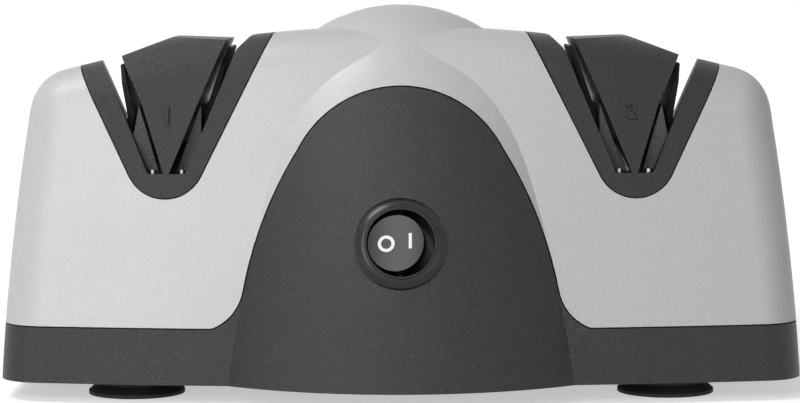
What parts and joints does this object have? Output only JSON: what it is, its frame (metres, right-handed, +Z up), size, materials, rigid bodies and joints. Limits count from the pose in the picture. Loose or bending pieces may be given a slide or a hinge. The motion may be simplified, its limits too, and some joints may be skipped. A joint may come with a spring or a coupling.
{
  "type": "electric knife sharpener",
  "caption": "Countertop electric knife sharpener with slotted guides over grinding wheels, a domed centre and a rocker switch",
  "frame": {"origin": "middle of the footprint, on the plane of the feet", "axes": "+X right as seen from the front, +Y to the back, +Z up"},
  "size_m": [0.2066, 0.108, 0.1007],
  "materials": {
    "black_plastic": "fine stipple, satin",
    "silver_paint": "fine metallic silver paint on plastic",
    "insert_plastic": "fine stipple, satin",
    "block_plastic": "ribbed, matt",
    "jaw_plastic": "smooth, satin",
    "coarse_abrasive": "coarse grit",
    "fine_abrasive": "fine grit",
    "rubber": "smooth, dull",
    "switch_plastic": "glossy",
    "rocker_plastic": "glossy",
    "copper": "enamelled",
    "lamination_steel": "stacked sheets",
    "nylon": "natural nylon",
    "lead_jacket": "smooth",
    "zinc": "die cast",
    "bronze": "sintered",
    "brass": "bright",
    "steel": "zinc plated"
  },
  "bodies": {
    "housing": {"base_housing": "black_plastic", "bearing_bracket_left": "zinc", "bearing_bracket_right": "zinc", "bearing_bush_left": "bronze", "bearing_bush_right": "bronze", "cover_screws": "steel", "guide_block_1_inner": "block_plastic", "guide_block_1_outer": "block_plastic", "guide_block_2_inner": "block_plastic", "guide_block_2_outer": "block_plastic", "guide_insert_1": "insert_plastic", "guide_insert_2": "insert_plastic", "jaw_pins": "steel", "motor_screws": "steel", "shading_rings": "copper", "stator_bobbin": "nylon", "stator_stack": "lamination_steel", "stator_winding": "copper", "stop_pins": "steel", "suction_foot_front_left": "rubber", "suction_foot_front_right": "rubber", "suction_foot_rear_left": "rubber", "suction_foot_rear_right": "rubber", "switch_body": "switch_plastic", "switch_lead": "lead_jacket", "switch_pivot": "steel", "switch_terminals": "brass", "through_screws": "steel", "top_cover": "silver_paint"},
    "drive": {"drive_shaft": "steel", "rotor_core": "lamination_steel", "cooling_fan": "nylon", "coarse_wheel": "coarse_abrasive", "fine_wheel": "fine_abrasive", "wheel_flange_1_inner": "steel", "wheel_flange_1_outer": "steel", "wheel_flange_2_inner": "steel", "wheel_flange_2_outer": "steel", "wheel_nut_1": "steel", "wheel_nut_2": "steel"},
    "rocker": {"switch_rocker": "rocker_plastic"},
    "jaw_1_inner": {"spring_jaw_1_inner": "jaw_plastic"},
    "jaw_1_outer": {"spring_jaw_1_outer": "jaw_plastic"},
    "jaw_2_inner": {"spring_jaw_2_inner": "jaw_plastic"},
    "jaw_2_outer": {"spring_jaw_2_outer": "jaw_plastic"}
  },
  "joints": [
    {"name": "rocker_tilt", "type": "hinge", "parent": "housing", "child": "rocker", "pos_m": [0, -0.04036, 0.04016], "axis": [0, 0.2923, 0.9563], "range_deg": [0, 22]},
    {"name": "drive_spin", "type": "hinge", "parent": "housing", "child": "drive", "pos_m": [0, 0, 0.041], "axis": [1, 0, 0], "continuous": true},
    {"name": "jaw_1_outer_swing", "type": "hinge", "parent": "housing", "child": "jaw_1_outer", "pos_m": [-0.07065, 0, 0.069], "axis": [0, -1, 0], "range_deg": [0, 4], "stiffness_Nm_per_rad": 0.2, "springref_deg": -1.72},
    {"name": "jaw_1_inner_swing", "type": "hinge", "parent": "housing", "child": "jaw_1_inner", "pos_m": [-0.04939, 0, 0.069], "axis": [0, 1, 0], "range_deg": [0, 4], "stiffness_Nm_per_rad": 0.2, "springref_deg": -1.72},
    {"name": "jaw_2_inner_swing", "type": "hinge", "parent": "housing", "child": "jaw_2_inner", "pos_m": [0.04939, 0, 0.069], "axis": [0, -1, 0], "range_deg": [0, 4], "stiffness_Nm_per_rad": 0.2, "springref_deg": -1.72},
    {"name": "jaw_2_outer_swing", "type": "hinge", "parent": "housing", "child": "jaw_2_outer", "pos_m": [0.07065, 0, 0.069], "axis": [0, 1, 0], "range_deg": [0, 4], "stiffness_Nm_per_rad": 0.2, "springref_deg": -1.72}
  ]
}
